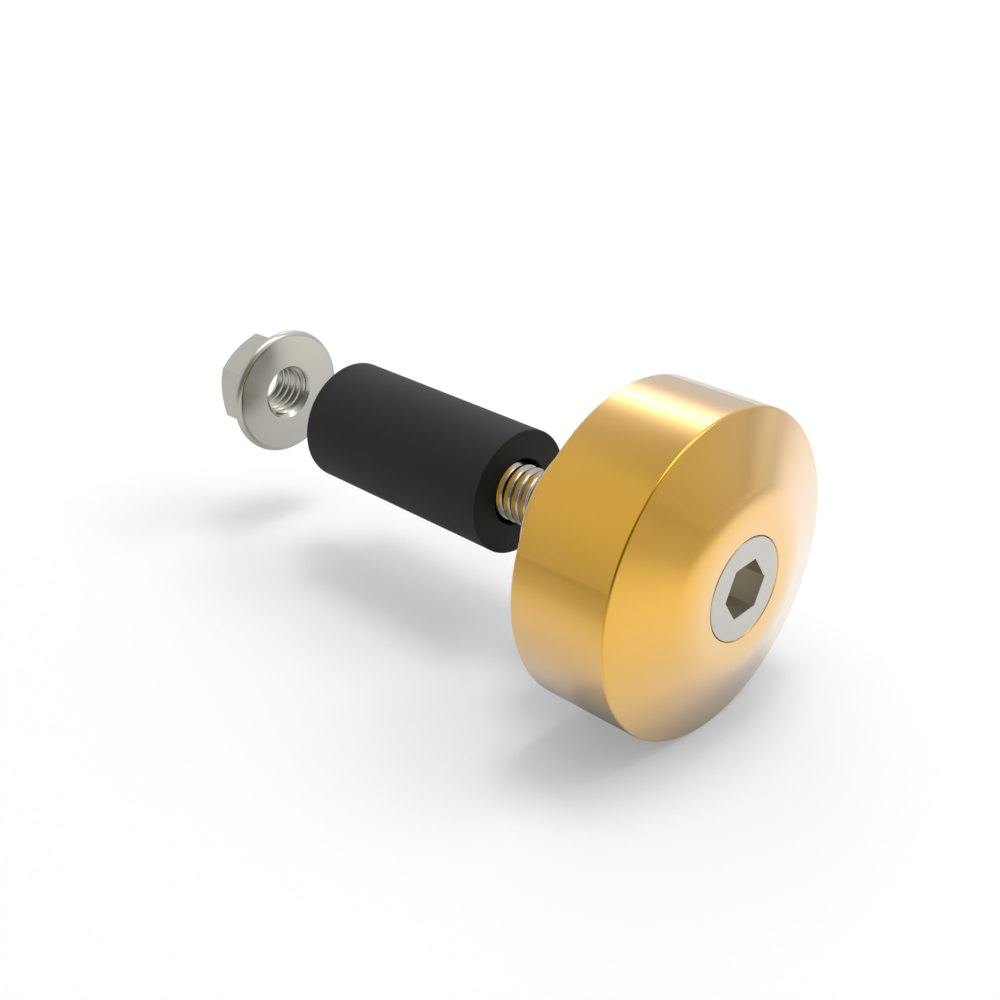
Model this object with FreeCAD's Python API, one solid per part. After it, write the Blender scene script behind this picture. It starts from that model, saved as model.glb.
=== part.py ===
import FreeCAD, Part
import math
import os

# Bar end weight: a turned weight held in the end of a handlebar by a cap screw, a rubber sleeve
# and a flange nut. Tightening the screw draws the nut towards the weight and squeezes the sleeve
# until it grips the bore of the bar.
#
# Everything is turned about the X axis. X = 0 is the flat back face of the weight, which seats on
# the end of the bar, and +X points out of the bar. The pieces stand drawn apart along the axis:
# the sleeve is loose on the screw and the nut is off it.

# Driving sizes, in millimetres and degrees

# Weight
weight_diameter = 32.0
weight_width = 10.5
face_angle = 20.0
face_rounding = 10.0
land_width = 0.85
front_rim_chamfer = 0.2
back_rim_chamfer = 0.2
spigot_diameter = 16.5
spigot_length = 6.4
spigot_chamfer = 0.5
pocket_clearance = 0.15
screw_hole_clearance = 0.3

# Cap screw
thread_diameter = 6.0
thread_allowance = 0.02
screw_length = 50.0
head_diameter = 10.0
head_height = 6.0
head_chamfer = 0.2
socket_width = 5.0
socket_depth = 3.2
socket_turn = 3.6
socket_drill_angle = 120.0
tip_chamfer = 0.6

# Rubber sleeve
sleeve_diameter = 13.0
sleeve_length = 25.2
sleeve_bore_clearance = 0.5
sleeve_travel = 7.35

# Flange nut
nut_width = 10.0
nut_height = 6.0
nut_turn = 30.0
nut_bore_clearance = 0.06
nut_chamfer_angle = 38.0
flange_diameter = 14.25
flange_rim_round = 0.6
flange_rim_bevel = 0.45
flange_slope = 25.0
nut_to_sleeve_gap = 11.05

# Worked out from the driving sizes

weight_radius = weight_diameter / 2
spigot_radius = spigot_diameter / 2
shank_radius = thread_diameter / 2 - thread_allowance
head_radius = head_diameter / 2
sleeve_radius = sleeve_diameter / 2
flange_radius = flange_diameter / 2

screw_hole_radius = thread_diameter / 2 + screw_hole_clearance
pocket_radius = head_radius + pocket_clearance
sleeve_bore_radius = thread_diameter / 2 + sleeve_bore_clearance
nut_bore_radius = shank_radius + nut_bore_clearance

# The front face is a shallow cone, rounded over into a flat land round the head's pocket
face_tilt = math.radians(face_angle)
land_radius = pocket_radius + land_width
cone_end_radius = land_radius + face_rounding * math.sin(face_tilt)


def cone_x(radius):
    """Where the coned front face stands at a distance from the axis."""
    return weight_width + (weight_radius - radius) * math.tan(face_tilt)


land_x = cone_x(cone_end_radius) + face_rounding * (1 - math.cos(face_tilt))

# The head lies flush with the land, on the floor of its pocket
head_top_x = land_x
head_seat_x = head_top_x - head_height
screw_tip_x = head_seat_x - screw_length
sleeve_near_x = -spigot_length - sleeve_travel
sleeve_far_x = sleeve_near_x - sleeve_length
nut_face_x = sleeve_far_x - nut_to_sleeve_gap
nut_end_x = nut_face_x - nut_height

AXIS = FreeCAD.Vector(1, 0, 0)
CENTRE = FreeCAD.Vector(0, 0, 0)


def at(x, radius):
    """A point of a turned profile: its place along the axis and its distance from it."""
    return FreeCAD.Vector(x, radius, 0)


def lines(points):
    """Straight profile edges through the points, in order."""
    return [Part.makeLine(start, end) for start, end in zip(points, points[1:])]


def arc(start, middle, end):
    """One circular profile edge through three points."""
    return Part.Arc(start, middle, end).toShape()


def turn(edges):
    """Revolve a closed profile about the axis."""
    face = Part.Face(Part.Wire(edges))
    return face.revolve(CENTRE, AXIS, 360)


def hexagon_prism(width, turn_angle, start_x, end_x):
    """A hexagonal bar along the axis, with a corner turned by turn_angle from the Y axis."""
    corner_radius = width / math.sqrt(3)
    corners = []
    for number in range(7):
        angle = math.radians(turn_angle + 60 * number)
        y = corner_radius * math.cos(angle)
        z = corner_radius * math.sin(angle)
        corners.append(FreeCAD.Vector(start_x, y, z))
    outline = Part.Face(Part.makePolygon(corners))
    return outline.extrude(AXIS * (end_x - start_x))


def make_weight():
    """Turned weight: coned face, head pocket, screw hole and the spigot that centres it."""
    cone_end = at(cone_x(cone_end_radius), cone_end_radius)
    half_radius = land_radius + face_rounding * math.sin(face_tilt / 2)
    half_x = land_x - face_rounding * (1 - math.cos(face_tilt / 2))
    land_edge = at(land_x, land_radius)
    rounding = arc(cone_end, at(half_x, half_radius), land_edge)
    rim_radius = weight_radius - front_rim_chamfer
    rest = lines([
        land_edge,
        at(land_x, pocket_radius),
        at(head_seat_x, pocket_radius),
        at(head_seat_x, screw_hole_radius),
        at(-spigot_length, screw_hole_radius),
        at(-spigot_length, spigot_radius - spigot_chamfer),
        at(-spigot_length + spigot_chamfer, spigot_radius),
        at(0, spigot_radius),
        at(0, weight_radius - back_rim_chamfer),
        at(back_rim_chamfer, weight_radius),
        at(weight_width - front_rim_chamfer, weight_radius),
        at(cone_x(rim_radius), rim_radius),
        cone_end,
    ])
    return turn([rounding] + rest)


def make_cap_screw():
    """Socket head cap screw with its head in the pocket and its tip past the sleeve."""
    screw = turn(lines([
        at(screw_tip_x, 0),
        at(screw_tip_x, shank_radius - tip_chamfer),
        at(screw_tip_x + tip_chamfer, shank_radius),
        at(head_seat_x, shank_radius),
        at(head_seat_x, head_radius),
        at(head_top_x - head_chamfer, head_radius),
        at(head_top_x, head_radius - head_chamfer),
        at(head_top_x, 0),
        at(screw_tip_x, 0),
    ]))

    # The key socket is broached over a drilled hole, whose cone is left below its floor
    floor_x = head_top_x - socket_depth
    drill_radius = socket_width / 2
    cone_depth = drill_radius / math.tan(math.radians(socket_drill_angle / 2))
    socket = hexagon_prism(socket_width, socket_turn, floor_x, head_top_x)
    drill_cone = Part.makeCone(0, drill_radius, cone_depth, at(floor_x - cone_depth, 0), AXIS)
    return screw.cut(socket.fuse(drill_cone))


def make_rubber_sleeve():
    """Thick rubber tube, cut off square at both ends and loose on the screw."""
    return turn(lines([
        at(sleeve_far_x, sleeve_bore_radius),
        at(sleeve_near_x, sleeve_bore_radius),
        at(sleeve_near_x, sleeve_radius),
        at(sleeve_far_x, sleeve_radius),
        at(sleeve_far_x, sleeve_bore_radius),
    ]))


def make_flange():
    """Flange with a rounded rim, bevelled behind, and a conical back up to the hexagon."""
    flat_radius = nut_width / 2
    widest_x = nut_face_x - flange_rim_round
    bevel_x = widest_x - flange_rim_bevel
    bevel_radius = flange_radius - flange_rim_bevel
    cone_end_x = bevel_x - (bevel_radius - flat_radius) * math.tan(math.radians(flange_slope))

    face_edge = at(nut_face_x, flange_radius - flange_rim_round)
    widest = at(widest_x, flange_radius)
    rounding = flange_rim_round * math.sin(math.radians(45))
    rim_middle = at(widest_x + rounding, flange_radius - flange_rim_round + rounding)
    rim = arc(face_edge, rim_middle, widest)
    rest = lines([
        widest,
        at(bevel_x, bevel_radius),
        at(cone_end_x, flat_radius),
        at(cone_end_x, nut_bore_radius),
        at(nut_face_x, nut_bore_radius),
        face_edge,
    ])
    return turn([rim] + rest)


def make_flange_nut():
    """Flange nut: hexagon with chamfered corners, flange and a bore for the thread."""
    flat_radius = nut_width / 2
    corner_radius = nut_width / math.sqrt(3)
    chamfer = math.tan(math.radians(nut_chamfer_angle))
    corner_x = nut_end_x + (corner_radius - flat_radius) * chamfer
    hexagon_start_x = nut_face_x - flange_rim_round
    hexagon = hexagon_prism(nut_width, nut_turn, hexagon_start_x, nut_end_x)

    # A cone that starts on the flats leaves the curved chamfer edges of a turned hexagon
    envelope = turn(lines([
        at(nut_end_x, 0),
        at(nut_end_x, flat_radius),
        at(corner_x, corner_radius),
        at(hexagon_start_x, corner_radius),
        at(hexagon_start_x, 0),
        at(nut_end_x, 0),
    ]))
    bore = Part.makeCylinder(nut_bore_radius, nut_height, at(nut_end_x, 0), AXIS)
    return hexagon.common(envelope).fuse(make_flange()).cut(bore)


pieces = {
    "weight": make_weight(),
    "cap_screw": make_cap_screw(),
    "rubber_sleeve": make_rubber_sleeve(),
    "flange_nut": make_flange_nut(),
}

os.makedirs("parts", exist_ok=True)
for name, shape in pieces.items():
    solid = shape.removeSplitter().Solids[0]
    print(name, "valid" if solid.isValid() else "not valid", round(solid.Volume, 1), "mm3")
    solid.exportStep("parts/" + name + ".step")
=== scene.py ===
# %% [markdown]
# # A bar end weight, drawn apart along its axis
#
# A bar end weight plugs the end of a handlebar and damps its shaking. Four pieces share one axis: a
# gold anodised weight with a coned face, the cap screw that goes through it, a black rubber sleeve
# loose on the screw, and a flange nut that stands clear of the screw's tip.
#
# The solids come from a CAD model and are loaded first. They are plain on purpose: they carry the
# sizes and the joints. This lesson dresses each of them with a finer mesh and a real finish. The
# cube, lamp and camera that a new Blender file holds are cleared away.

import math

import bmesh
import bpy
import numpy as np
from mathutils import Matrix, Vector


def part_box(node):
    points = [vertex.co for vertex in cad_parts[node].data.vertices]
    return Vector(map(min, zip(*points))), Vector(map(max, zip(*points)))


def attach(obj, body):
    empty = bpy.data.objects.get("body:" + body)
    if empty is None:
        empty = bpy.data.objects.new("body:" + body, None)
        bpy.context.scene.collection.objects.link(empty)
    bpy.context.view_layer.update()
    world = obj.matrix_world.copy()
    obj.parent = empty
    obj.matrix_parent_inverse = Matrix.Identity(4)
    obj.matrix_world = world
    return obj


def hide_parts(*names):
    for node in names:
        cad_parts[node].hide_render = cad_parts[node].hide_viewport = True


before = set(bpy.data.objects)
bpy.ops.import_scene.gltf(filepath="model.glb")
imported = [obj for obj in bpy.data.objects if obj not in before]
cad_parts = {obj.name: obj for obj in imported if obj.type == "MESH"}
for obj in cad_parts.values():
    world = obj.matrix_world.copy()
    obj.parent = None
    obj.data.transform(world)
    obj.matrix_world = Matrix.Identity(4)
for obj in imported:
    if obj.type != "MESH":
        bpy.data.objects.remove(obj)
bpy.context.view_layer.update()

for stray in ("Cube", "Light", "Camera"):
    if stray in bpy.data.objects:
        bpy.data.objects.remove(bpy.data.objects[stray])

MM = 0.001
for node_name in sorted(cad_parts):
    low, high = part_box(node_name)
    print(node_name, "runs from", round(low.x / MM, 2), "to", round(high.x / MM, 2), "mm along X")

# %% [markdown]
# ## The camera
#
# A photograph is a pinhole view, so three unit vectors and one point give the whole camera: right,
# up and back, and the place of the pinhole. Blender's camera looks along its own -Z axis, which is
# why the vector that points back at us is its Z axis. The lens length sets how much is seen.

# %% Camera
camera_place = Vector((74.72, -95.17, 66.584)) * MM
camera_right = Vector((0.7221, 0.6918, 0.0))
camera_back = Vector((0.6139, -0.6408, 0.4609)).normalized()
camera_right = (camera_right - camera_right.dot(camera_back) * camera_back).normalized()
camera_up = camera_back.cross(camera_right)

camera = bpy.data.objects.new("camera", bpy.data.cameras.new("camera"))
camera.data.lens = 52.77
camera.data.sensor_width = 36.0
camera.data.clip_start = 0.005
camera.data.clip_end = 10.0
camera.matrix_world = Matrix((
    (camera_right.x, camera_up.x, camera_back.x, camera_place.x),
    (camera_right.y, camera_up.y, camera_back.y, camera_place.y),
    (camera_right.z, camera_up.z, camera_back.z, camera_place.z),
    (0, 0, 0, 1),
))
bpy.context.scene.collection.objects.link(camera)
bpy.context.scene.camera = camera
bpy.context.scene.view_settings.view_transform = "Standard"
print("the camera stands", round(camera_place.length / MM), "mm from the weight's back face")

# %% [markdown]
# ## Shells round an axis
#
# Everything here is turned, or nearly so. A turned surface is a stack of rings round the X axis. A
# hexagon is a ring too, one whose radius changes with the angle. So one helper makes them all: it
# takes rows of (place along the axis, radius), and each of the two may be a number or hold one
# value per angle. Points that fall together, such as a ring of radius 0, are merged afterwards.
# Lengths are in millimetres, and become metres only when the mesh is made.
#
# Blender's Screw modifier could turn a plain profile, but it can't make a hexagon or a thread run
# into a round part without a seam. Rows of our own can.

# %% Rings and rows
MERGE_DISTANCE = 0.0004
SHARP_ANGLE = math.radians(32)


def even_angles(count, turn=0.0):
    """Angles round the axis, evenly spaced from a turn in degrees."""
    return math.radians(turn) + np.arange(count) * 2 * math.pi / count


def shell_block(angles, rows):
    """Points and faces of a shell whose rows are (along, radius) in millimetres."""
    points = np.empty((len(rows), len(angles), 3))
    for number, (along, radius) in enumerate(rows):
        points[number, :, 0] = along
        points[number, :, 1] = radius * np.cos(angles)
        points[number, :, 2] = radius * np.sin(angles)
    index = np.arange(points.shape[0] * points.shape[1]).reshape(points.shape[:2])
    beside = np.roll(index, -1, axis=1)
    faces = np.stack((index[:-1], beside[:-1], beside[1:], index[1:]), axis=-1)
    return points.reshape(-1, 3), faces.reshape(-1, 4)


def make_piece(name, blocks):
    """One closed mesh from blocks of points and faces, with clean shading at its edges."""
    points = []
    faces = []
    first = 0
    for block_points, block_faces in blocks:
        points.append(block_points * MM)
        faces.append(block_faces + first)
        first += len(block_points)
    mesh = bpy.data.meshes.new(name)
    mesh.from_pydata(np.concatenate(points).tolist(), [], np.concatenate(faces).tolist())

    shell = bmesh.new()
    shell.from_mesh(mesh)
    bmesh.ops.remove_doubles(shell, verts=shell.verts, dist=MERGE_DISTANCE * MM)
    bmesh.ops.recalc_face_normals(shell, faces=shell.faces)
    open_edges = sum(1 for edge in shell.edges if not edge.is_manifold)
    shell.to_mesh(mesh)
    shell.free()

    mesh.polygons.foreach_set("use_smooth", np.ones(len(mesh.polygons), bool))
    mesh.set_sharp_from_angle(angle=SHARP_ANGLE)
    piece = bpy.data.objects.new(name, mesh)
    bpy.context.scene.collection.objects.link(piece)
    print(name, "has", len(mesh.polygons), "faces and", open_edges, "open edges")
    return piece

# %% [markdown]
# ## Broken edges
#
# No edge on a machined piece is a true knife edge. A tool or a tumbling drum takes off a tenth or
# two of a millimetre, and that thin round is what catches the light and draws each outline. The
# Bevel modifier could do it, but on a profile it is simple geometry: step back from the corner
# along both of its lines, and join the two places with an arc that is tangent to both.
#
# Smooth shading blends from one row to the next, and would make a flat face beside a rounded edge
# look hollow. A holding row close to each end of every straight stretch keeps the blend narrow.
# The Weighted Normal modifier is the usual cure, but it gives up on faces this small.

# %% Rounded profile corners
HOLDING_DISTANCE = 0.03
SHORTEST_HELD = 8 * HOLDING_DISTANCE


def rounded_profile(corners, steps=6):
    """Profile rows through corners given as (along, radius, rounding) in millimetres."""
    rows = []
    count = len(corners)
    for number, (along, radius, rounding) in enumerate(corners):
        here = np.array((along, radius))
        if rounding == 0 or number in (0, count - 1):
            rows.append((along, radius))
            continue
        before = np.array(corners[number - 1][:2]) - here
        after = np.array(corners[number + 1][:2]) - here
        before /= np.linalg.norm(before)
        after /= np.linalg.norm(after)
        half_angle = math.acos(np.clip(before @ after, -1, 1)) / 2
        middle = (before + after) / np.linalg.norm(before + after)
        centre = here + middle * rounding / math.sin(half_angle)
        step_back = rounding / math.tan(half_angle)
        start = here + before * step_back - centre
        end = here + after * step_back - centre
        swing = math.pi - 2 * half_angle
        for step in range(steps + 1):
            share = step / steps
            mixed = math.sin((1 - share) * swing) * start + math.sin(share * swing) * end
            rows.append(tuple(centre + mixed / math.sin(swing)))

    held_rows = rows[:1]
    for last, row in zip(rows, rows[1:]):
        length = math.dist(last, row)
        if length > SHORTEST_HELD:
            for share in (HOLDING_DISTANCE / length, 1 - HOLDING_DISTANCE / length):
                between = (1 - share) * np.array(last) + share * np.array(row)
                held_rows.append(tuple(between))
        held_rows.append(row)
    return held_rows

# %% [markdown]
# ## The turned weight
#
# The real weight is a slug of aluminium bar, faced, coned and bored in one clamping on a lathe,
# then polished and anodised. Its front is a shallow cone of 20 degrees that rounds over, with a
# radius of 10 mm, into a flat land round the pocket for the screw's head. That rounding is what
# bends the bright floor into an arch above the head. A spigot behind the flat back centres the
# weight in the bar. Close rows on the rounding keep its reflections free of ripples.

# %% Weight mesh
weight_low, weight_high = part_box("weight")
WEIGHT_RADIUS = weight_high.z / MM
WEIGHT_WIDTH = 10.5
FACE_TILT = math.radians(20)
FACE_ROUNDING = 10.0
FACE_STEPS = 24
LAND_RADIUS = 6.0
POCKET_RADIUS = 5.04
HOLE_RADIUS = 3.3
SPIGOT_RADIUS = 8.25
SPIGOT_END = weight_low.x / MM
LAND_ALONG = weight_high.x / MM
HEAD_HEIGHT = 6.0
HEAD_SEAT = LAND_ALONG - HEAD_HEIGHT

face_corners = []
for tilt in np.linspace(0, FACE_TILT, FACE_STEPS):
    along = LAND_ALONG - FACE_ROUNDING * (1 - math.cos(tilt))
    face_corners.append((along, LAND_RADIUS + FACE_ROUNDING * math.sin(tilt), 0))
weight_rows = rounded_profile([
    (HEAD_SEAT, HOLE_RADIUS, 0),
    (HEAD_SEAT, POCKET_RADIUS, 0.1),
    (LAND_ALONG, POCKET_RADIUS, 0.16),
    *face_corners,
    (WEIGHT_WIDTH, WEIGHT_RADIUS, 0.25),
    (0, WEIGHT_RADIUS, 0.25),
    (0, SPIGOT_RADIUS, 0.2),
    (SPIGOT_END, SPIGOT_RADIUS, 0.5),
    (SPIGOT_END, HOLE_RADIUS, 0.15),
    (HEAD_SEAT, HOLE_RADIUS, 0),
])
turned_weight = make_piece("turned_weight", [shell_block(even_angles(288), weight_rows)])

# %% [markdown]
# ## Rows that climb: a real thread
#
# A screw thread is one long ridge that climbs a pitch for each turn. The mesh climbs with it: row
# by row it is shifted along the axis by the angle, so that every crest is one unbroken line of
# edges. After a full turn a row meets the row one pitch further on, and that is where the two
# ends of the grid join. The grid has spare turns at both ends. Rows that climb past an end are
# pressed flat onto it, and merging closes them. A displaced texture would look threaded from far
# off, but its outline would stay smooth.
#
# Crests are placed from the axis origin in the screw and in the nut alike, so that the two mesh
# wherever the nut has run to.

# %% Thread
PITCH = 1.0
THREAD_START = 0.34
SPARE_TURNS = 2


def thread_block(angles, start, end, profile, radius_limit):
    """A helical shell; profile holds (share of a pitch, radius) and radius_limit trims the ends."""
    per_turn = len(profile)
    first_turn = math.floor(start / PITCH) - SPARE_TURNS
    turns = math.ceil(end / PITCH) - first_turn + SPARE_TURNS
    shares = np.array([share for share, radius in profile] * turns)
    radii = np.array([radius for share, radius in profile] * turns)
    turn_numbers = first_turn + np.arange(turns * per_turn) // per_turn
    along = THREAD_START + PITCH * (turn_numbers + shares)[:, None]
    along = along + PITCH * angles[None, :] / (2 * math.pi)
    along = np.clip(along, start, end)
    radius = radius_limit(np.broadcast_to(radii[:, None], along.shape), along)
    points = np.stack((along, radius * np.cos(angles), radius * np.sin(angles)), axis=-1)

    index = np.arange(along.size).reshape(along.shape)
    within = np.stack((index[:-1, :-1], index[:-1, 1:], index[1:, 1:], index[1:, :-1]), axis=-1)
    joined = np.stack((
        index[:-per_turn - 1, -1],
        index[per_turn:-1, 0],
        index[per_turn + 1:, 0],
        index[1:-per_turn, -1],
    ), axis=-1)
    return points.reshape(-1, 3), np.concatenate((within.reshape(-1, 4), joined))

# %% [markdown]
# ## The socket cap screw
#
# Such a screw is cold headed from steel wire, its key socket is punched in, and its thread is
# rolled between dies. Rolling presses a round valley between straight flanks and leaves a narrow
# flat on each crest, which is why the profile below is made of one arc and four straight lines.
# The rings of the head pass from a circle to a hexagon at the socket, and on down to the drilled
# cone at its bottom. The angles start at a corner of the socket, so that the corners stay sharp.

# %% Cap screw mesh
screw_low, screw_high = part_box("cap_screw")
SCREW_TIP = screw_low.x / MM
HEAD_TOP = screw_high.x / MM
HEAD_RADIUS = 5.0
FACE_RING = 3.6
SOCKET_TURN = 3.6
SOCKET_FLAT = 2.5
SOCKET_EDGE = 0.06
SOCKET_DEPTH = 3.2
SOCKET_FLOOR = HEAD_TOP - SOCKET_DEPTH
DRILL_RADIUS = 2.48
DRILL_HALF_ANGLE = math.radians(60)
CREST_RADIUS = 2.98
CREST_FLAT = 0.10
FLANK_TILT = math.radians(57)
ROOT_ROUND = 0.30
TIP_CHAMFER = 0.6
PLAIN_SHANK = 1.2
THREAD_END = HEAD_SEAT - PLAIN_SHANK
THREAD_FADE = 1.5

screw_angles = even_angles(96, SOCKET_TURN)


def hexagon_radius(angles, flat_radius, turn, rounding=0.0):
    """Distance from the axis to a hexagon with a corner at turn degrees, at each angle."""
    from_corner = (angles - math.radians(turn) + math.pi / 6) % (math.pi / 3) - math.pi / 6
    from_corner = np.abs(from_corner)
    radius = flat_radius / np.cos(math.pi / 6 - from_corner)
    if rounding:
        centre = (flat_radius - rounding) / math.cos(math.pi / 6)
        arc_end = math.atan2(rounding / 2, centre + rounding * math.cos(math.pi / 6))
        on_arc = np.clip(from_corner, 0, arc_end)
        arc = centre * np.cos(on_arc) + np.sqrt(rounding ** 2 - (centre * np.sin(on_arc)) ** 2)
        radius = np.where(from_corner <= arc_end, arc, radius)
    return radius


def rolled_profile():
    """Thread rows from crest to crest: a steep flank, a round valley and a steep flank again."""
    flank_width = 0.5 - CREST_FLAT / 2 - ROOT_ROUND * math.sin(FLANK_TILT)
    flank_depth = flank_width * math.tan(FLANK_TILT)
    root_radius = CREST_RADIUS - flank_depth - ROOT_ROUND * (1 - math.cos(FLANK_TILT))
    rows = [(CREST_FLAT / 2, CREST_RADIUS)]
    for turn in np.linspace(-FLANK_TILT, FLANK_TILT, 9):
        rise = ROOT_ROUND * (1 - math.cos(turn))
        rows.append((0.5 + ROOT_ROUND * math.sin(turn), root_radius + rise))
    rows.append((1 - CREST_FLAT / 2, CREST_RADIUS))
    print("the screw's thread is", round(CREST_RADIUS - root_radius, 2), "mm deep")
    return rows


def screw_limit(radius, along):
    """The tip's chamfer cuts the thread, and towards the head the thread runs out."""
    chamfer = CREST_RADIUS - TIP_CHAMFER + (along - SCREW_TIP)
    fade = np.clip((THREAD_END - along) / THREAD_FADE, 0, 1)
    return np.minimum(CREST_RADIUS - (CREST_RADIUS - radius) * fade, chamfer)


screw_thread = thread_block(
    screw_angles, SCREW_TIP, THREAD_END, rolled_profile(), screw_limit,
)
socket_hexagon = hexagon_radius(screw_angles, SOCKET_FLAT, SOCKET_TURN)
drill_depth = SOCKET_FLAT / math.tan(DRILL_HALF_ANGLE)
screw_tip = shell_block(screw_angles, [(SCREW_TIP, 0), (SCREW_TIP, CREST_RADIUS - TIP_CHAMFER)])
head_rows = rounded_profile([
    (THREAD_END, CREST_RADIUS, 0),
    (HEAD_SEAT, CREST_RADIUS, 0.2),
    (HEAD_SEAT, HEAD_RADIUS, 0.2),
    (HEAD_TOP, HEAD_RADIUS, 0.1),
    (HEAD_TOP, FACE_RING, 0),
])
head_rows += [
    (HEAD_TOP, socket_hexagon + SOCKET_EDGE),
    (HEAD_TOP - SOCKET_EDGE, socket_hexagon),
    (SOCKET_FLOOR, socket_hexagon),
    (SOCKET_FLOOR, DRILL_RADIUS),
    (SOCKET_FLOOR - drill_depth, 0),
]
socket_cap_screw = make_piece(
    "socket_cap_screw", [screw_tip, screw_thread, shell_block(screw_angles, head_rows)],
)

# %% [markdown]
# ## The rubber sleeve
#
# A length of thick rubber hose, cut off square. The knife leaves an edge that is almost sharp, so
# its rounding is only a tenth of a millimetre. The bore is a loose fit on the screw.

# %% Sleeve mesh
sleeve_low, sleeve_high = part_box("rubber_sleeve")
SLEEVE_RADIUS = sleeve_high.z / MM
SLEEVE_BORE = 3.5
SLEEVE_FAR = sleeve_low.x / MM
SLEEVE_NEAR = sleeve_high.x / MM
WALL_MIDDLE = 5.0
KNIFE_ROUND = 0.1

sleeve_rows = rounded_profile([
    (SLEEVE_FAR, WALL_MIDDLE, 0),
    (SLEEVE_FAR, SLEEVE_BORE, KNIFE_ROUND),
    (SLEEVE_NEAR, SLEEVE_BORE, KNIFE_ROUND),
    (SLEEVE_NEAR, SLEEVE_RADIUS, KNIFE_ROUND),
    (SLEEVE_FAR, SLEEVE_RADIUS, KNIFE_ROUND),
    (SLEEVE_FAR, WALL_MIDDLE, 0),
], steps=4)
rubber_grip = make_piece("rubber_grip", [shell_block(even_angles(144), sleeve_rows)])

# %% [markdown]
# ## The flange nut
#
# The nut is forged: a hexagon that grows out of a washer-like flange with a full round rim. Its
# far end is turned to a cone, and where a cone cuts the flats of a hexagon it leaves the curved
# edges that every nut shows. Those curves are exact here, because each ring may bend along the
# axis as well: at each angle it stands where the cone has come down to the hexagon.
#
# The thread is tapped after forging, so its crests are flat: they are what is left of the drilled
# bore. They fit the screw's round valleys with a few hundredths to spare, and its crests fit the
# nut's. Both mouths of the bore are countersunk.

# %% Flange nut mesh
nut_low, nut_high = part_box("flange_nut")
NUT_FACE = nut_high.x / MM
NUT_END = nut_low.x / MM
FLANGE_RADIUS = 7.125
RIM_ROUND = 0.6
FLANGE_SLOPE = math.tan(math.radians(25))
NUT_FLAT = 5.0
NUT_TURN = 30.0
CORNER_ROUND = 0.06
CHAMFER_SLOPE = math.tan(math.radians(38))
MOUTH_RADIUS = 3.1
NUT_CREST = 2.61
NUT_CREST_SHARES = (0.38, 0.62)
NUT_VALLEY = 3.06
VALLEY_HALF_WIDTH = 0.16
VALLEY_ROUNDING = 0.08

# One sixth of the way round, in degrees, with close steps at its corners
SECTOR = (
    0, 0.15, 0.31, 2.5, 5.5, 9, 13, 17, 21, 25.5,
    30, 34.5, 39, 43, 47, 51, 54.5, 57.5, 59.69, 59.85,
)
nut_angles = np.radians([NUT_TURN + 60 * corner + step for corner in range(6) for step in SECTOR])
nut_hexagon = hexagon_radius(nut_angles, NUT_FLAT, NUT_TURN, CORNER_ROUND)


def nut_limit(radius, along):
    """Countersinks at both mouths cut the thread."""
    near = MOUTH_RADIUS - (NUT_FACE - along)
    far = MOUTH_RADIUS - (along - NUT_END)
    return np.maximum(radius, np.maximum(near, far))


nut_profile = [(share, NUT_CREST) for share in NUT_CREST_SHARES]
for step in np.linspace(-1, 1, 7):
    nut_profile.append((1 + VALLEY_HALF_WIDTH * step, NUT_VALLEY - VALLEY_ROUNDING * step ** 2))
nut_thread = thread_block(nut_angles, NUT_END, NUT_FACE, nut_profile, nut_limit)

flange_rows = rounded_profile([
    (NUT_FACE, MOUTH_RADIUS, 0),
    (NUT_FACE, FLANGE_RADIUS, RIM_ROUND),
    (NUT_FACE - 2 * RIM_ROUND, FLANGE_RADIUS, RIM_ROUND),
    (NUT_FACE - 2 * RIM_ROUND, FLANGE_RADIUS - RIM_ROUND, 0),
], steps=9)
foot_along = NUT_FACE - 2 * RIM_ROUND - (FLANGE_RADIUS - RIM_ROUND - nut_hexagon) * FLANGE_SLOPE
chamfer_along = NUT_END + (nut_hexagon - NUT_FLAT) * CHAMFER_SLOPE
flange_rows += [
    (foot_along, nut_hexagon),
    (chamfer_along, nut_hexagon),
    (NUT_END, NUT_FLAT),
    (NUT_END, MOUTH_RADIUS),
]
flanged_nut = make_piece("flanged_nut", [nut_thread, shell_block(nut_angles, flange_rows)])

# %% [markdown]
# ## Node trees in plain words
#
# Every finish below is a small node tree. The first helper adds a node, sets the inputs that are
# given as numbers or colours, and links the ones that are given as another node's output, so that
# a tree reads like a recipe. The others do what the finishes share: arithmetic, two shades that
# drift into each other, a mix of two colours, and the last step, which shows the shader.

# %% Material helpers
def add_node(tree, kind, settings=None, **inputs):
    """Add a node, with settings for its own options and inputs by name, spaces as underscores."""
    node = tree.nodes.new(kind)
    for option, value in (settings or {}).items():
        setattr(node, option, value)
    for input_name, value in inputs.items():
        socket = node.inputs[input_name.replace("_", " ")]
        if isinstance(value, bpy.types.NodeSocket):
            tree.links.new(value, socket)
        else:
            socket.default_value = value
    return node


def calculate(tree, operation, *values):
    """The result of a Math node; each value is a number or another node's output."""
    node = tree.nodes.new("ShaderNodeMath")
    node.operation = operation
    for socket, value in zip(node.inputs, values):
        if isinstance(value, bpy.types.NodeSocket):
            tree.links.new(value, socket)
        else:
            socket.default_value = value
    return node.outputs[0]


def mottled(tree, noise, deeper, paler):
    """A colour that drifts between two shades as a noise node says."""
    ramp = add_node(tree, "ShaderNodeValToRGB", Fac=noise.outputs["Fac"])
    for stop, position, shade in zip(ramp.color_ramp.elements, (0.3, 0.7), (deeper, paler)):
        stop.color = (*shade, 1)
        stop.position = position
    return ramp.outputs["Color"]


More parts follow.
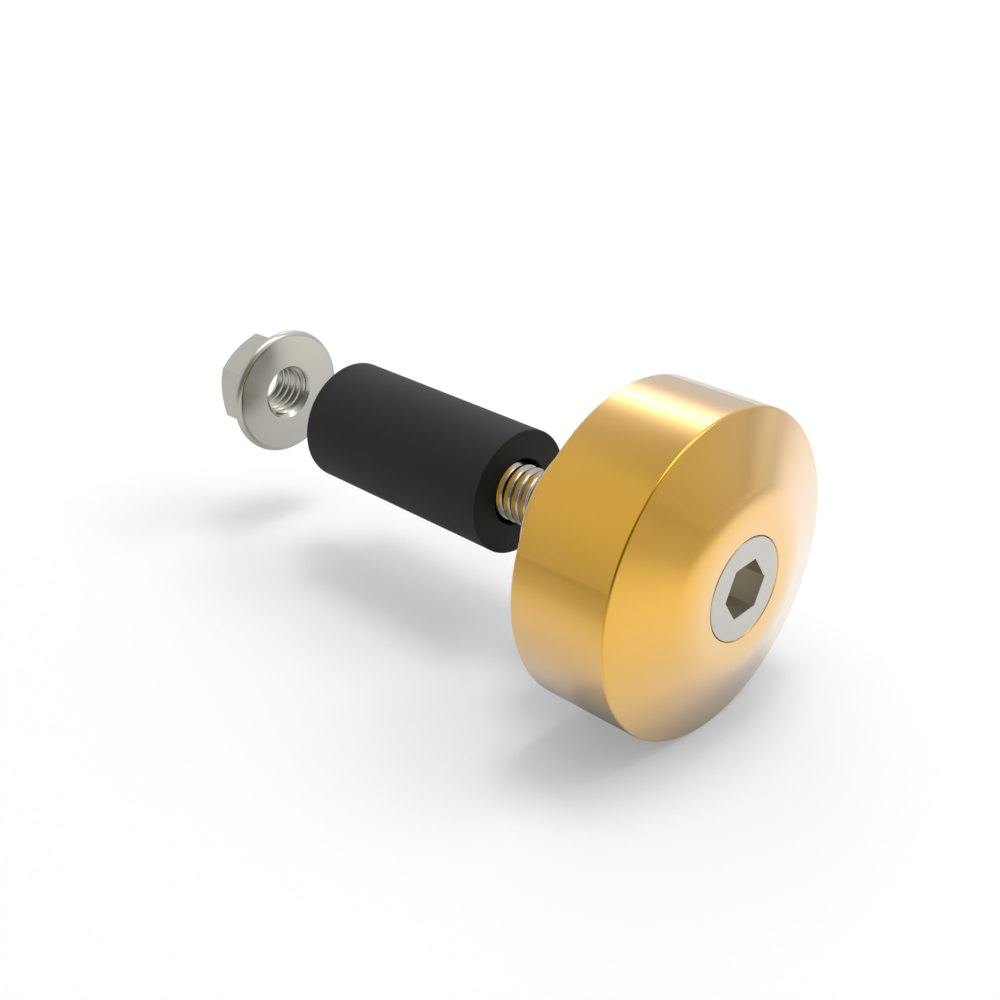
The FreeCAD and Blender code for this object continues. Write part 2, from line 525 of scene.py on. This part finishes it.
def mixed_colour(tree, share, first, second):
    """Mix an output's colour with a written one; the Mix node's colours are inputs 6 and 7."""
    mix = add_node(tree, "ShaderNodeMix", {"data_type": "RGBA"})
    tree.links.new(share, mix.inputs[0])
    tree.links.new(first, mix.inputs[6])
    mix.inputs[7].default_value = (*second, 1)
    return mix.outputs[2]


def new_finish(name):
    """An empty material and its node tree."""
    finish = bpy.data.materials.new(name)
    finish.use_nodes = True
    finish.node_tree.nodes.clear()
    return finish, finish.node_tree


def show_surface(owner, shader, kind="ShaderNodeOutputMaterial"):
    """Link a shader to the output node of a material or a world."""
    tree = owner.node_tree
    output = tree.nodes.new(kind)
    tree.links.new(shader.outputs[0], output.inputs["Surface"])
    print(owner.name, "has", len(tree.nodes), "nodes")


def lathe_coordinates(tree):
    """Where a point is on a turned piece: its place, and the same place turned into one plane."""
    place = add_node(tree, "ShaderNodeTexCoord").outputs["Object"]
    parts = add_node(tree, "ShaderNodeSeparateXYZ", Vector=place)
    flat = add_node(tree, "ShaderNodeCombineXYZ", Y=parts.outputs["Y"], Z=parts.outputs["Z"])
    out = add_node(tree, "ShaderNodeVectorMath", {"operation": "LENGTH"}, Vector=flat.outputs[0])
    ring = add_node(tree, "ShaderNodeCombineXYZ", X=parts.outputs["X"], Y=out.outputs["Value"])
    return place, ring.outputs[0]

# %% [markdown]
# ## Gold anodised aluminium
#
# Anodising grows a thin clear layer of oxide on the polished metal, and the layer soaks up a dye.
# Seen straight on, the light passes the dye twice and comes back gold. At a shallow angle more and
# more of it is mirrored by the clear surface and never meets the dye, so the gold turns pale. A
# Layer Weight node tells how shallow the angle is, and it mixes the dye's gold towards white. The
# Principled shader whitens metals at shallow angles too, and the specular tint tempers that.
#
# The lathe leaves rings that are too fine to see one by one but that soften the gloss a little.
# They come from noise that is read only along and out from the axis, so that it runs round.

# %% Gold finish
DEEP_DYE = (0.80, 0.43, 0.034)
PALE_DYE = (0.83, 0.45, 0.042)
CLEAR_GLOSS = (0.96, 0.96, 0.96)
SHALLOW_TINT = (0.963, 0.912, 0.85, 1)
PALING = 1.9


def gold_finish():
    """Dyed oxide over polished aluminium, with marks of the lathe."""
    finish, tree = new_finish("gold_anodised_aluminium")
    place, ring = lathe_coordinates(tree)
    cloud = add_node(tree, "ShaderNodeTexNoise", Vector=place, Scale=90.0, Detail=3.0)
    dye = mottled(tree, cloud, DEEP_DYE, PALE_DYE)
    shallow = add_node(tree, "ShaderNodeLayerWeight", Blend=0.5)
    paler = calculate(tree, "POWER", shallow.outputs["Facing"], PALING)
    gold = mixed_colour(tree, paler, dye, CLEAR_GLOSS)
    rings = add_node(tree, "ShaderNodeTexNoise", Vector=ring, Scale=5200.0, Detail=2.0)
    gloss = add_node(
        tree, "ShaderNodeMapRange", Value=rings.outputs["Fac"], To_Min=0.08, To_Max=0.14,
    )
    lathe_marks = add_node(
        tree, "ShaderNodeBump", Height=rings.outputs["Fac"], Strength=0.05, Distance=0.00001,
    )
    surface = add_node(
        tree, "ShaderNodeBsdfPrincipled", Base_Color=gold, Metallic=1.0,
        Roughness=gloss.outputs["Result"], Normal=lathe_marks.outputs["Normal"],
        Specular_Tint=SHALLOW_TINT,
    )
    show_surface(finish, surface)
    return finish


polished_gold = gold_finish()

# %% [markdown]
# ## Plated steel
#
# The screw and the nut are nickel plated, a warm grey metal that is duller than the gold. The
# plating is a touch uneven, so its gloss drifts over the surface, and at close range it is very
# slightly pebbled. The screw is glossier than the nut, which has been tumbled. The punch leaves
# the walls of the key socket rough. They are also given a paler colour, painted light that
# brightens the shaded recess, and a mask made from the place on the piece, far out along the axis
# and near to it, finds them.

# %% Steel finishes
PUNCHED_MIDDLE = 11.2
PUNCHED_HALF_LENGTH = 2.25
PUNCHED_RADIUS = 2.9
PUNCHED_ROUGHER = 0.22
# The paler colour of the socket walls is painted light, not the steel's own shade
PAINTED_SOCKET_LIGHT = (0.70, 0.67, 0.575)
DEEPER_SHARE = 0.97


def plated_finish(name, colour, dull, bright):
    """Nickel plate whose roughness drifts between bright and dull, with painted light in the
    socket.
    """
    finish, tree = new_finish(name)
    place, ring = lathe_coordinates(tree)
    drift = add_node(tree, "ShaderNodeTexNoise", Vector=place, Scale=420.0, Detail=4.0)
    tint = mottled(tree, drift, [channel * DEEPER_SHARE for channel in colour], colour)
    gloss = add_node(
        tree, "ShaderNodeMapRange", Value=drift.outputs["Fac"], To_Min=bright, To_Max=dull,
    )
    apart = add_node(tree, "ShaderNodeSeparateXYZ", Vector=ring)
    in_head = calculate(
        tree, "COMPARE", apart.outputs["X"], PUNCHED_MIDDLE * MM, PUNCHED_HALF_LENGTH * MM,
    )
    in_socket = calculate(tree, "LESS_THAN", apart.outputs["Y"], PUNCHED_RADIUS * MM)
    socket_rough_and_painted_light = calculate(tree, "MULTIPLY", in_head, in_socket)
    roughness = calculate(
        tree, "MULTIPLY_ADD", socket_rough_and_painted_light, PUNCHED_ROUGHER, gloss.outputs["Result"],
    )
    # Painted light: inside the key socket the tint gives way to a paler colour
    metal = mixed_colour(tree, socket_rough_and_painted_light, tint, PAINTED_SOCKET_LIGHT)
    pebble = add_node(tree, "ShaderNodeTexNoise", Vector=place, Scale=2500.0, Detail=1.0)
    pebbled = add_node(
        tree, "ShaderNodeBump", Height=pebble.outputs["Fac"], Strength=0.02, Distance=0.00001,
    )
    surface = add_node(
        tree, "ShaderNodeBsdfPrincipled", Base_Color=metal, Metallic=1.0,
        Roughness=roughness, Normal=pebbled.outputs["Normal"],
    )
    show_surface(finish, surface)
    return finish


bright_steel = plated_finish("bright_plated_steel", (0.55, 0.532, 0.49), dull=0.2, bright=0.14)
tumbled_steel = plated_finish("tumbled_plated_steel", (0.62, 0.6, 0.535), dull=0.26, bright=0.22)

# %% [markdown]
# ## Black rubber
#
# Rubber is almost black, yet it never looks like a hole: its dull skin scatters a broad, weak
# highlight. The grain of the skin is fine noise in the bump, and larger noise shifts the grey a
# little, as bloom does on real rubber.

# %% Rubber finish
FRESH_RUBBER = (0.009, 0.009, 0.0088)
BLOOMED_RUBBER = (0.0115, 0.0115, 0.0112)


def rubber_finish():
    """Dull black rubber with a grained skin."""
    finish, tree = new_finish("black_rubber")
    place = add_node(tree, "ShaderNodeTexCoord").outputs["Object"]
    bloom = add_node(tree, "ShaderNodeTexNoise", Vector=place, Scale=160.0, Detail=4.0)
    grey = mottled(tree, bloom, FRESH_RUBBER, BLOOMED_RUBBER)
    grain = add_node(tree, "ShaderNodeTexNoise", Vector=place, Scale=6000.0, Detail=4.0)
    skin = add_node(
        tree, "ShaderNodeBump", Height=grain.outputs["Fac"], Strength=0.25, Distance=0.00002,
    )
    surface = add_node(
        tree, "ShaderNodeBsdfPrincipled", Base_Color=grey,
        Roughness=0.6, Specular_IOR_Level=0.35, Normal=skin.outputs["Normal"],
    )
    show_surface(finish, surface)
    return finish


black_rubber = rubber_finish()

# %% [markdown]
# ## Dress the bodies
#
# Each mesh now gets its finish, rides on the body that moves it, and stands for the plain solid.

# %% Assign, ride and replace
dressing = (
    (turned_weight, "weight", "weight", "anodised_weight", polished_gold),
    (socket_cap_screw, "screw", "cap_screw", "plated_hardware", bright_steel),
    (rubber_grip, "sleeve", "rubber_sleeve", "sleeve_rubber", black_rubber),
    (flanged_nut, "nut", "flange_nut", "plated_hardware", tumbled_steel),
)
for piece, body, node_name, slot_name, finish in dressing:
    piece.data.materials.append(finish)
    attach(piece, body)
    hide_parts(node_name)
    print(piece.name, "rides on", body, "in", finish.name)

# %% [markdown]
# ## The floor
#
# The weight rests on its rim, so the floor is one weight radius below the axis. It is a plain pale
# sheet that takes the object's shadow, and a little light of its own lifts it to white.
#
# In a product picture the floor that the camera sees and the floor that polished metal mirrors are
# two different jobs. The camera should see an even white. The metal needs dark and light to mirror,
# or it looks like plastic: here a painted pool of light, a bright oval beside the object that fades
# into the grey of the room, made from the sheet's tone and its own glow rather than a lamp, which
# gives the cone its pale arch and its darker upper half. A smaller oval of painted light along the
# sleeve lightens the lower side of the weight and of the nut. Far off, on the side away from the
# room's dark corner, painted light lifts the sheet to the level of the walls, so that the gold
# shows no line where floor and wall meet. The Light Path node keeps the two jobs apart, and both
# keep the shadow.

# %% Floor
FLOOR_LEVEL = -WEIGHT_RADIUS * MM
FLOOR_WIDTH = 4.0
SEEN_TONE = 0.55
bpy.ops.mesh.primitive_plane_add(size=FLOOR_WIDTH, location=(0, 0, FLOOR_LEVEL))
floor = bpy.context.active_object
floor.name = "studio_floor"
print("the floor is", FLOOR_WIDTH, "m wide and lies at", round(FLOOR_LEVEL / MM, 2), "mm")


def smooth_grade(tree, value, **steps):
    """Map a value smoothly from between From_Min and From_Max to between To_Min and To_Max."""
    grade = add_node(
        tree, "ShaderNodeMapRange", {"interpolation_type": "SMOOTHSTEP"}, Value=value, **steps,
    )
    return grade.outputs["Result"]


def floor_finish():
    """White to the camera, with a painted pool of light for the rays that metal mirrors."""
    finish, tree = new_finish("pale_studio_floor")
    place = add_node(tree, "ShaderNodeTexCoord").outputs["Object"]

    def graded(centre, turn, stretch, **steps):
        """A smooth grade over the distance from a centre, in an oval that is longer along Y."""
        oval = add_node(
            tree, "ShaderNodeMapping", {"vector_type": "TEXTURE"}, Vector=place,
            Location=(*centre, 0), Rotation=(0, 0, math.radians(turn)), Scale=(1, stretch, 1),
        )
        away = add_node(
            tree, "ShaderNodeVectorMath", {"operation": "LENGTH"}, Vector=oval.outputs[0],
        )
        return smooth_grade(tree, away.outputs["Value"], **steps)

    # The camera's rays see the whole sheet white, mirrored rays only its painted pool of light near
    # the object. Each oval has a centre in metres, a turn in degrees and a stretch.
    pool = (0.040, 0.042), -6.5, 1.63
    rays = add_node(tree, "ShaderNodeLightPath")
    seen = rays.outputs["Is Camera Ray"]
    mirrored = calculate(
        tree, "MAXIMUM", rays.outputs["Is Glossy Ray"], rays.outputs["Is Transmission Ray"],
    )
    # For mirrored rays the sheet's tone fades with distance: a painted pool of light
    painted_pool_tone = graded(*pool, From_Min=0.015, From_Max=0.1, To_Min=0.78, To_Max=0.47)

    # The Mix node's share is its input 0, and its two numbers are inputs 2 and 3
    sheet_and_painted_pool_tone = add_node(tree, "ShaderNodeMix", {"data_type": "FLOAT"})
    tree.links.new(seen, sheet_and_painted_pool_tone.inputs[0])
    tree.links.new(painted_pool_tone, sheet_and_painted_pool_tone.inputs[2])
    sheet_and_painted_pool_tone.inputs[3].default_value = SEEN_TONE
    sheet = add_node(tree, "ShaderNodeBsdfDiffuse", Color=sheet_and_painted_pool_tone.outputs[0])

    seen_lift = graded(*pool, From_Min=0.1, From_Max=0.5, To_Min=0.32, To_Max=0.7)
    # Painted light for mirrored rays only: the pool, the side oval and the far sheet glow, no lamp
    painted_pool_light = graded(*pool, From_Max=0.075, To_Min=0.07, To_Max=0.0)
    side = (-0.045, -0.035), 90, 1.8
    painted_side_light = graded(*side, From_Min=0.01, From_Max=0.05, To_Min=0.14, To_Max=0.0)
    dark_corner = (0.234, -0.26), 0, 1.0
    painted_far_light = graded(*dark_corner, From_Min=0.38, From_Max=0.6, To_Min=0.03, To_Max=0.28)
    painted_mirror_light = calculate(tree, "ADD", calculate(tree, "ADD", painted_pool_light, painted_side_light), painted_far_light)
    lift = calculate(
        tree, "MULTIPLY_ADD", mirrored, painted_mirror_light, calculate(tree, "MULTIPLY", seen, seen_lift),
    )
    glow = add_node(tree, "ShaderNodeEmission", Strength=lift)
    both = add_node(tree, "ShaderNodeAddShader")
    tree.links.new(sheet.outputs[0], both.inputs[0])
    tree.links.new(glow.outputs[0], both.inputs[1])
    show_surface(finish, both)
    return finish


floor.data.materials.append(floor_finish())

# %% [markdown]
# ## The studio's light
#
# Polished metal shows the room, not itself, so the room is designed like a piece. It is a pale grey
# that grows lighter upwards, a little more so on the right, and dims at the ceiling. A wide softbox
# hangs overhead, another behind and to the left draws the bright band across the top of the gold,
# and one on the right throws the shadows to the left. The corner that the camera stands in is dark,
# and that draws the fine dark line along the weight's front rim. A lamp's power is worked out from
# the brightness that it should have when it is seen in a mirror, and it fades from its middle, so
# that no reflection has a hard edge.
#
# Big lamps give soft reflections but hardly any shadow. Two small ones, which the metal doesn't
# mirror, draw the shadows under the sleeve and the nut.

# %% Room and softboxes
def direction_toward(azimuth, elevation):
    """A unit vector; azimuth turns from +X towards +Y, elevation rises from the floor."""
    turn = math.radians(azimuth)
    rise = math.radians(elevation)
    return Vector((
        math.cos(rise) * math.cos(turn), math.cos(rise) * math.sin(turn), math.sin(rise),
    ))


def studio_room():
    """A grey room that grows lighter upwards and is dark in one corner."""
    room = bpy.data.worlds.new("pale_grey_room")
    room.use_nodes = True
    tree = room.node_tree
    tree.nodes.clear()
    direction = add_node(tree, "ShaderNodeTexCoord").outputs["Generated"]
    height = add_node(tree, "ShaderNodeSeparateXYZ", Vector=direction).outputs["Z"]

    def across(azimuth, elevation, **steps):
        """A smooth grade over how nearly a direction points at one place on the walls."""
        facing = add_node(tree, "ShaderNodeVectorMath", {"operation": "DOT_PRODUCT"})
        tree.links.new(direction, facing.inputs[0])
        facing.inputs[1].default_value = direction_toward(azimuth, elevation)
        return smooth_grade(tree, facing.outputs["Value"], **steps)

    level = smooth_grade(tree, height, From_Min=-0.1, From_Max=0.6, To_Min=0.59, To_Max=0.745)
    ceiling = smooth_grade(tree, height, From_Min=0.77, From_Max=0.85, To_Min=1.0, To_Max=0.8)
    right_wall = across(70, 0, From_Min=-0.5, From_Max=0.9, To_Min=1.0, To_Max=1.12)

    # The corner is darkest within 22 degrees of its middle, and ends 62 degrees away from it
    dark_corner = across(
        -48, 14, From_Min=math.cos(math.radians(62)), From_Max=math.cos(math.radians(22)),
        To_Min=1.0, To_Max=0.28,
    )
    for factor in (ceiling, right_wall, dark_corner):
        level = calculate(tree, "MULTIPLY", level, factor)
    grey = add_node(tree, "ShaderNodeBackground", Color=(1, 1, 1, 1), Strength=level)
    show_surface(room, grey, kind="ShaderNodeOutputWorld")
    bpy.context.scene.world = room


def add_softbox(name, azimuth, elevation, distance, size, brightness, fade, mirrored):
    """A square soft lamp that looks at the object and fades from its middle outwards."""
    toward = direction_toward(azimuth, elevation)
    lamp = bpy.data.lights.new(name, "AREA")
    lamp.shape = "SQUARE"
    lamp.size = size
    lamp.energy = brightness * math.pi * size ** 2
    lamp.use_nodes = True
    tree = lamp.node_tree
    across = add_node(tree, "ShaderNodeNewGeometry").outputs["Parametric"]
    middle = add_node(tree, "ShaderNodeVectorMath", {"operation": "DISTANCE"})
    tree.links.new(across, middle.inputs[0])
    middle.inputs[1].default_value = (0.5, 0.5, 0)
    inward = add_node(
        tree, "ShaderNodeMapRange", Value=middle.outputs["Value"], From_Max=0.5,
        To_Min=1.0, To_Max=0.0,
    )
    falloff = calculate(tree, "POWER", inward.outputs["Result"], fade)
    tree.links.new(falloff, tree.nodes["Emission"].inputs["Strength"])
    softbox = bpy.data.objects.new(name, lamp)
    softbox.location = toward * distance
    softbox.rotation_mode = "QUATERNION"
    softbox.rotation_quaternion = toward.to_track_quat("Z", "Y")
    softbox.visible_camera = False
    softbox.visible_glossy = mirrored
    bpy.context.scene.collection.objects.link(softbox)
    print(name, "has", round(lamp.energy, 3), "W")


# Name, azimuth, elevation, distance and size in metres, brightness, fade, and if metal mirrors it
LAMPS = (
    ("overhead_softbox", 90, 88, 0.5, 0.5, 3.0, 1.0, True),
    ("back_left_softbox", 134, 38, 0.6, 0.56, 2.6, 3.0, True),
    ("right_softbox", 41, 50, 0.6, 0.34, 3.2, 1.0, True),
    ("shadow_lamp_above", 100, 79, 0.5, 0.15, 10.3, 0.0, False),
    ("shadow_lamp_right", 60, 54, 0.5, 0.15, 5.4, 0.0, False),
)
studio_room()
for lamp_settings in LAMPS:
    add_softbox(*lamp_settings)
bpy.context.scene.cycles.caustics_reflective = False
